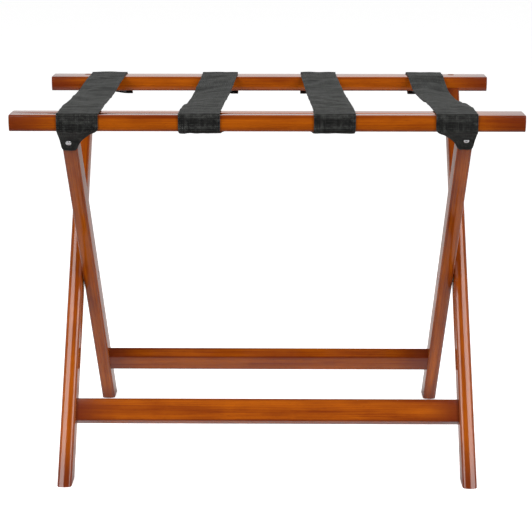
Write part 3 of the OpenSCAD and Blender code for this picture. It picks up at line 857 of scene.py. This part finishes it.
def makeBlackWebbing():
    material, tree, shader = newMaterial("Black woven webbing", Sheen_Weight=clothLooks["sheen"],
                                         Sheen_Roughness=clothLooks["sheenRoughness"], IOR=1.45,
                                         Sheen_Tint=(0.9, 0.95, 0.9, 1), Specular_IOR_Level=0.2)
    place = readAttribute(tree, "clothPos").outputs["Vector"]
    ribs = waveAcross(tree, place, "X", clothLooks["ribPitch"])
    twill = waveAcross(tree, place, "DIAGONAL", clothLooks["pickPitch"])
    picks = waveAcross(tree, place, "Y", clothLooks["pickPitch"])
    halfPicks = calculate(tree, "ADD", calculate(tree, "MULTIPLY", picks, 0.5), 0.5)
    weave = calculate(tree, "MULTIPLY", twill, halfPicks)
    fuzz = mapRange(tree, stretchedNoise(tree, place, (520, 520, 520), 3), 0.3, 0.7)
    blotch = mapRange(tree, stretchedNoise(tree, place, (45, 22, 45), 3), 0.35, 0.7)
    streaks = mapRange(tree, stretchedNoise(tree, place, (420, 26, 420), 3), 0.35, 0.65)
    # painted shade: lighter and darker bands across the strap stand in for the shading of soft folds
    foldShadeBands = mapRange(tree, stretchedNoise(tree, place, (16, 120, 16), 4), 0.38, 0.66)
    patterns = {"ribs": ribs, "weave": weave, "blotch": blotch, "streaks": streaks, "fuzz": fuzz,
                "foldShadeBands": foldShadeBands}
    share = addUp(tree, *((value, clothLooks[name]) for name, value in patterns.items()))
    share = calculate(tree, "SUBTRACT", share, clothLooks["blackest"])
    colour = mixColours(tree, share, clothLooks["base"], clothLooks["worn"])
    tree.links.new(colour, shader.inputs["Base Color"])
    tree.links.new(mapRange(tree, fuzz, 0, 1, 0.62, 0.85), shader.inputs["Roughness"])
    height = addUp(tree, (ribs, 0.8), (weave, 0.7), (fuzz, 0.4))
    bumpInto(tree, shader, height, 0.8, 0.00025)
    return material


def makeMetal(name, colour, worn, roughness):
    material, tree, shader = newMaterial(name, Metallic=1)
    place = tree.nodes.new("ShaderNodeTexCoord").outputs["Object"]
    spots = mapRange(tree, stretchedNoise(tree, place, (420, 420, 420), 4), 0.35, 0.7)
    tree.links.new(mixColours(tree, spots, colour, worn), shader.inputs["Base Color"])
    tree.links.new(mapRange(tree, spots, 0, 1, roughness, roughness + 0.18), shader.inputs["Roughness"])
    bumpInto(tree, shader, stretchedNoise(tree, place, (1500, 1500, 1500), 3), 0.15, 0.00005)
    return material


def makeNylon():
    material, tree, shader = newMaterial("Natural nylon washer", Roughness=0.4)
    place = tree.nodes.new("ShaderNodeTexCoord").outputs["Object"]
    cloud = mapRange(tree, stretchedNoise(tree, place, (160, 160, 160), 3), 0.35, 0.7)
    colour = mixColours(tree, cloud, (0.80, 0.78, 0.70, 1), (0.66, 0.63, 0.54, 1))
    tree.links.new(colour, shader.inputs["Base Color"])
    bumpInto(tree, shader, cloud, 0.1, 0.0001)
    return material


woodGrain = makeWoodGrain()
stainedWood = makeStainedWood()
plugWood = makePlugWood()
dowelWood = makeDowelWood()
blackWebbing = makeBlackWebbing()
zincSteel = makeMetal("Bright zinc plated steel", (0.78, 0.78, 0.80, 1), (0.58, 0.58, 0.60, 1), 0.22)
stapleSteel = makeMetal("Dull galvanised staple wire", (0.50, 0.50, 0.52, 1), (0.32, 0.32, 0.33, 1), 0.4)
nylon = makeNylon()
print("materials made")

# the object's pieces
seed = 0
for frameName, railRow, stretcherRow in (("inner", "front", "rear"), ("outer", "rear", "front")):
    for sideName in sides:
        seed += 1
        leg(frameName, sideName, seed)
    rail(frameName, railRow, seed + 10)
    stretcher(frameName, stretcherRow, seed + 20)
    railPlugs(frameName, railRow)
print("wooden bars and plugs made")

for sideName in sides:
    pivotBolt(sideName)
    pivotNut(sideName)
    pivotWasher(sideName)
tabScrews()
print("pivots and tab screws made")

for strapName in straps:
    for row in ("front", "rear"):
        strapHalf(strapName, row)
print("straps made")

# the CAD nodes that stay, in their own finishes
for nodeName, material in (("rear_stretcher_dowels", dowelWood), ("front_stretcher_dowels", dowelWood),
                           ("front_rail_screws", zincSteel), ("rear_rail_screws", zincSteel),
                           ("front_staples", stapleSteel), ("rear_staples", stapleSteel)):
    kept = frame["nodes"][nodeName]
    for slotNumber in range(max(1, len(kept.material_slots))):
        if slotNumber >= len(kept.material_slots):
            kept.data.materials.append(material)
        kept.material_slots[slotNumber].material = material

# the studio
studio = {"floorSize": 40, "floorColour": (0.80, 0.80, 0.80, 1), "flagged": (0.012, 0.012, 0.012, 1),
          "flagFrom": -0.5, "flagTo": -0.85, "lift": 0.75,
          "skyBehind": 0.90, "skyFront": 0.03, "skyTop": 0.10, "frontAt": -0.3, "behindAt": 0.75,
          "topFrom": 0.5, "backdrop": 1.0, "aimHeight": 0.25}
softboxes = {  # place, size across and deep, strength
    "leftKey": {"place": (-1.5, -1.9, 2.3), "size": (1.3, 1.5), "watts": 44},
    "rightKey": {"place": (1.5, -1.9, 2.3), "size": (1.3, 1.5), "watts": 44},
    "leftFill": {"place": (-1.6, -2.3, 1.0), "size": (1.7, 1.7), "watts": 12},
    "rightFill": {"place": (1.6, -2.3, 1.0), "size": (1.7, 1.7), "watts": 12},
    "leftSide": {"place": (-2.4, 0.1, 1.1), "size": (1.2, 1.6), "watts": 10},
    "rightSide": {"place": (2.4, 0.1, 1.1), "size": (1.2, 1.6), "watts": 10}}
viewpoint = {"place": (0.0162, -1.9853, 0.7870), "down": 15.014, "turn": 0.552, "lens": 98.73,
             "sensor": 36}


def makeFloor():  # pale to look at, but its near part is flagged off from what the lacquer mirrors
    bm = bmesh.new()
    bmesh.ops.create_grid(bm, x_segments=1, y_segments=1, size=studio["floorSize"] / 2)
    bmesh.ops.translate(bm, vec=(0, 0, floorZ - 0.02 * mm), verts=bm.verts)
    floor = toPiece(bm, "studioFloor")
    material, tree, shader = newMaterial("Pale studio floor", Roughness=0.9, Specular_IOR_Level=0.1,
                                         Emission_Color=(1, 1, 1, 1))
    seen = tree.nodes.new("ShaderNodeLightPath").outputs["Is Camera Ray"]
    parts = tree.nodes.new("ShaderNodeSeparateXYZ")
    tree.links.new(tree.nodes.new("ShaderNodeTexCoord").outputs["Object"], parts.inputs["Vector"])
    flag = mapRange(tree, parts.outputs["Y"], studio["flagTo"], studio["flagFrom"])
    lit = mixColours(tree, flag, studio["flagged"], studio["floorColour"])
    tree.links.new(mixColours(tree, seen, lit, studio["floorColour"]), shader.inputs["Base Color"])
    tree.links.new(calculate(tree, "MULTIPLY", seen, studio["lift"]), shader.inputs["Emission Strength"])
    floor.data.materials.append(material)


def makeSky():
    world = bpy.data.worlds.new("studio")
    bpy.context.scene.world = world
    world.use_nodes = True
    tree = world.node_tree
    parts = tree.nodes.new("ShaderNodeSeparateXYZ")
    tree.links.new(tree.nodes.new("ShaderNodeTexCoord").outputs["Generated"], parts.inputs["Vector"])
    seen = tree.nodes.new("ShaderNodeLightPath").outputs["Is Camera Ray"]
    level = mapRange(tree, parts.outputs["Y"], studio["frontAt"], studio["behindAt"],
                     studio["skyFront"], studio["skyBehind"])
    up = mapRange(tree, parts.outputs["Z"], studio["topFrom"], 1.0)
    for share, other in ((up, studio["skyTop"]), (seen, studio["backdrop"])):
        mix = tree.nodes.new("ShaderNodeMix")
        mix.inputs[3].default_value = other
        tree.links.new(share, mix.inputs[0])
        tree.links.new(level, mix.inputs[2])
        level = mix.outputs[0]
    tree.links.new(level, tree.nodes["Background"].inputs["Strength"])
    tree.nodes["Background"].inputs["Color"].default_value = (1, 1, 1, 1)


def makeSoftboxes():
    for name, box in softboxes.items():
        light = bpy.data.lights.new(name, "AREA")
        light.shape = "RECTANGLE"
        light.size, light.size_y = box["size"]
        light.energy = box["watts"]
        lamp = bpy.data.objects.new(name, light)
        lamp.location = box["place"]
        aim = Vector((0, 0, studio["aimHeight"])) - Vector(box["place"])
        lamp.rotation_euler = aim.to_track_quat("-Z", "Y").to_euler()
        bpy.context.scene.collection.objects.link(lamp)


def makeCamera():
    camera = bpy.data.cameras.new("studioCamera")
    camera.lens = viewpoint["lens"]
    camera.sensor_width = viewpoint["sensor"]
    eye = bpy.data.objects.new("studioCamera", camera)
    turn = Matrix.Rotation(math.radians(viewpoint["turn"]), 4, "Z")
    tilt = Matrix.Rotation(math.radians(90 - viewpoint["down"]), 4, "X")
    eye.matrix_world = Matrix.Translation(viewpoint["place"]) @ turn @ tilt
    bpy.context.scene.collection.objects.link(eye)
    bpy.context.scene.camera = eye


makeFloor()
makeSky()
makeSoftboxes()
makeCamera()
bpy.context.scene.view_settings.view_transform = "Standard"
print("studio made")
